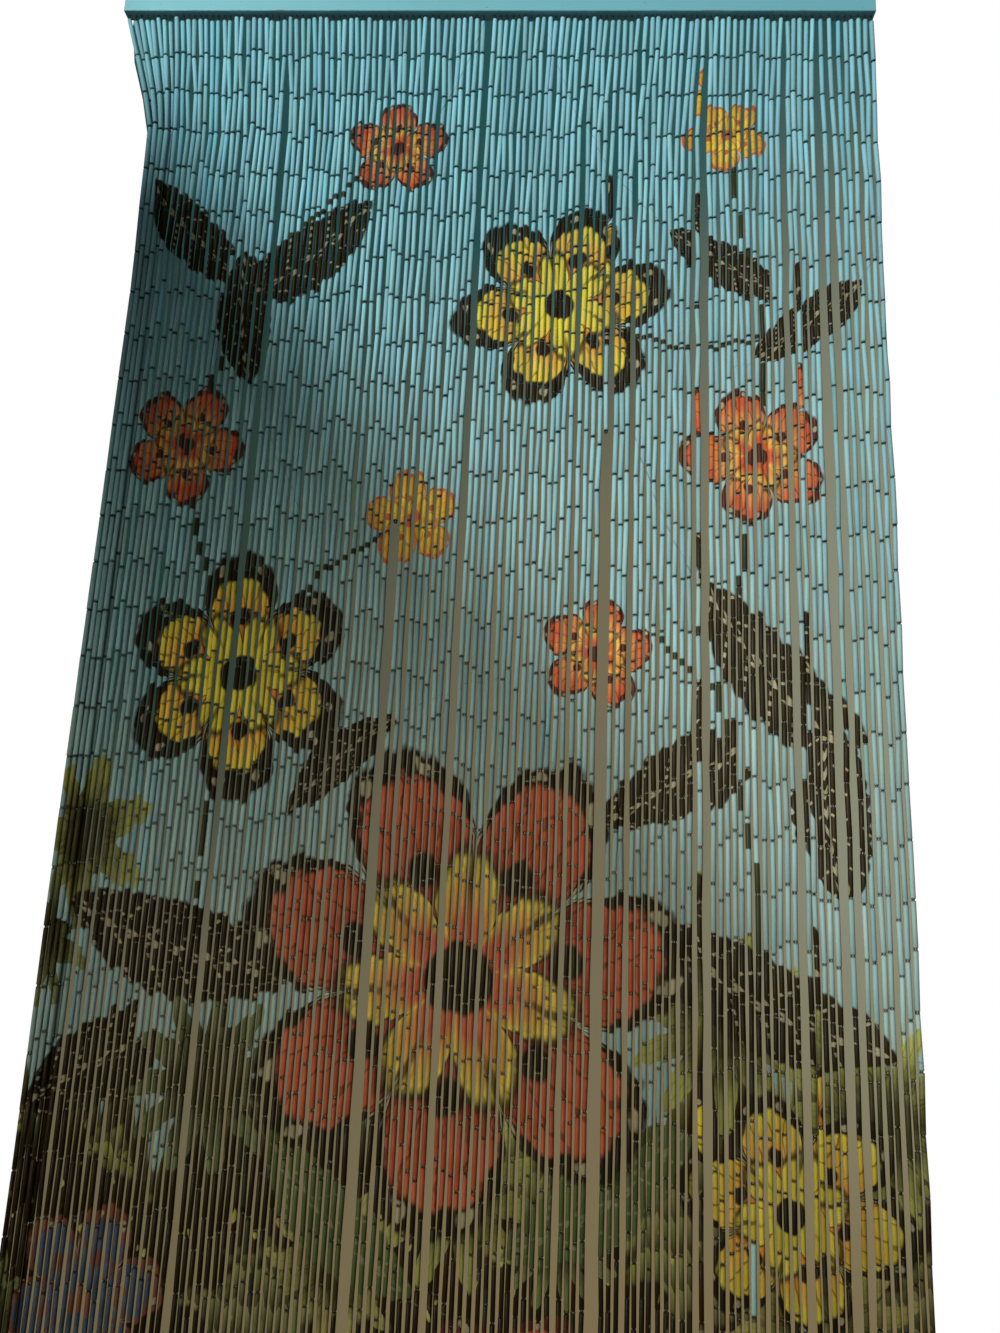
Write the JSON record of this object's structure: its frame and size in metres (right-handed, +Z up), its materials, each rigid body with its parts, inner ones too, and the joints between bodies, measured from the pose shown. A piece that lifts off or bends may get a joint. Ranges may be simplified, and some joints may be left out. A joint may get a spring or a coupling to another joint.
{
  "type": "bead curtain with head bar",
  "caption": "Bead curtain of painted bamboo tube strands that hang from a painted wooden head bar.",
  "frame": {"origin": "centre of the head bar's top face, where it meets the head of a doorway", "axes": "+Z up, along the hanging strands; +Y from the front to the back; +X along the bar, to the right as seen from the front"},
  "size_m": [0.9, 0.015, 2.0053],
  "materials": {
    "painted_wood": "satin paint",
    "painted_bamboo": "glossy paint"
  },
  "bodies": {
    "root": {"head_bar": "painted_wood", "strand_row": "painted_bamboo"}
  },
  "joints": []
}
